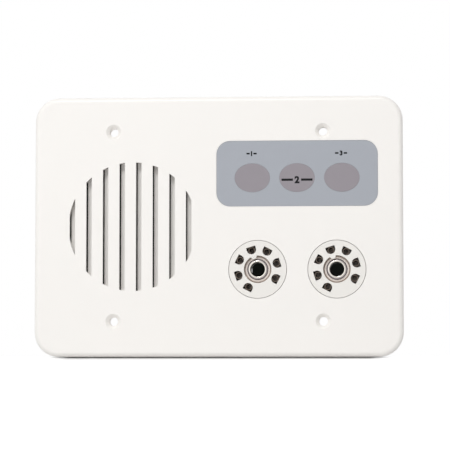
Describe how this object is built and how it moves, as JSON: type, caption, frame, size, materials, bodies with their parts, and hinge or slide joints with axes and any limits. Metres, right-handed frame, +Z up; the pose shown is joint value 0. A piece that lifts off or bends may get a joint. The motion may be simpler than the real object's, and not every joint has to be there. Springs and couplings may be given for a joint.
{
  "type": "nurse call patient station",
  "caption": "Wall-mounted patient station with a slotted speaker grille, oval call and cancel keys and round call cord sockets, its speaker and circuit board behind the plate.",
  "frame": {"origin": "centre of the pattern of four box screws, on the wall plane", "axes": "+X to the right as seen from the room, +Y out of the plate's back into the wall, +Z up"},
  "size_m": [0.1618, 0.037, 0.1142],
  "materials": {
    "moulded_white": "satin, fine moulded texture",
    "socket_white": "satin",
    "overlay_film": "matt printed film",
    "key_grey": "translucent satin",
    "switch_black": "satin",
    "white_nylon": "satin",
    "lamp_lens": "diffused clear",
    "board_green": "solder mask",
    "terminal_green": "satin",
    "relay_blue": "satin",
    "capacitor_sleeve": "shrunk sleeve",
    "chip_epoxy": "matt",
    "phenolic_board": "pressed laminate",
    "red_pvc": "smooth",
    "black_pvc": "smooth",
    "nickel_plate": "worn plating",
    "contact_bronze": "dull phosphor bronze",
    "zinc_steel": "zinc plated",
    "basket_steel": "pressed and plated",
    "copper_winding": "enamelled wire",
    "ferrite": "ground",
    "foam_black": "open foam",
    "surround_black": "matt",
    "cone_paper": "pressed pulp",
    "spider_cloth": "varnished weave"
  },
  "bodies": {
    "station": {"face_plate": "moulded_white", "grille_guard": "moulded_white", "overlay": "overlay_film", "speaker_gasket": "foam_black", "speaker_basket": "basket_steel", "speaker_surround": "surround_black", "speaker_spider": "spider_cloth", "speaker_top_plate": "zinc_steel", "speaker_magnet": "ferrite", "speaker_yoke": "zinc_steel", "speaker_terminal_strip": "phenolic_board", "speaker_tags": "nickel_plate", "speaker_clamps": "zinc_steel", "clamp_screws": "zinc_steel", "socket_body_left": "socket_white", "socket_body_right": "socket_white", "socket_contacts_left": "contact_bronze", "socket_contacts_right": "contact_bronze", "jack_sleeve_left": "nickel_plate", "jack_sleeve_right": "nickel_plate", "jack_nut_left": "nickel_plate", "jack_nut_right": "nickel_plate", "jack_frame_left": "nickel_plate", "jack_frame_right": "nickel_plate", "jack_insulators_left": "phenolic_board", "jack_insulators_right": "phenolic_board", "jack_break_contact_left": "contact_bronze", "jack_break_contact_right": "contact_bronze", "jack_stack_screws_left": "zinc_steel", "jack_stack_screws_right": "zinc_steel", "socket_screws": "zinc_steel", "main_board": "board_green", "board_screws": "zinc_steel", "switch_housings": "switch_black", "key_lamps": "lamp_lens", "terminal_block": "terminal_green", "terminal_screws": "zinc_steel", "relay": "relay_blue", "chips": "chip_epoxy", "capacitors": "capacitor_sleeve", "resistors": "chip_epoxy", "speaker_header": "white_nylon", "speaker_plug": "white_nylon", "lead_red": "red_pvc", "lead_black": "black_pvc"},
    "call_key_left": {"call_key_left": "key_grey", "plunger_left": "switch_black"},
    "cancel_key": {"cancel_key": "key_grey", "plunger_middle": "switch_black"},
    "call_key_right": {"call_key_right": "key_grey", "plunger_right": "switch_black"},
    "speaker_cone": {"speaker_cone": "cone_paper", "dust_cap": "cone_paper", "voice_coil": "copper_winding"},
    "jack_spring_left": {"jack_tip_spring_left": "contact_bronze"},
    "jack_spring_right": {"jack_tip_spring_right": "contact_bronze"}
  },
  "joints": [
    {"name": "call_key_left_press", "type": "slide", "parent": "station", "child": "call_key_left", "axis": [0, 1, 0], "range_m": [0, 0.0006], "stiffness_N_per_m": 2000, "springref_m": -0.0002},
    {"name": "cancel_key_press", "type": "slide", "parent": "station", "child": "cancel_key", "axis": [0, 1, 0], "range_m": [0, 0.0006], "stiffness_N_per_m": 2000, "springref_m": -0.0002},
    {"name": "call_key_right_press", "type": "slide", "parent": "station", "child": "call_key_right", "axis": [0, 1, 0], "range_m": [0, 0.0006], "stiffness_N_per_m": 2000, "springref_m": -0.0002},
    {"name": "cone_travel", "type": "slide", "parent": "station", "child": "speaker_cone", "axis": [0, -1, 0], "range_m": [-0.0005, 0.0005], "stiffness_N_per_m": 2500, "deforming": ["speaker_surround", "speaker_spider"]},
    {"name": "jack_spring_left_flex", "type": "hinge", "parent": "station", "child": "jack_spring_left", "pos_m": [0.0174, 0.027, -0.0273], "axis": [1, 0, 0], "range_deg": [0, 4.8], "stiffness_Nm_per_rad": 0.34},
    {"name": "jack_spring_right_flex", "type": "hinge", "parent": "station", "child": "jack_spring_right", "pos_m": [0.052, 0.027, -0.0273], "axis": [1, 0, 0], "range_deg": [0, 4.8], "stiffness_Nm_per_rad": 0.34}
  ]
}
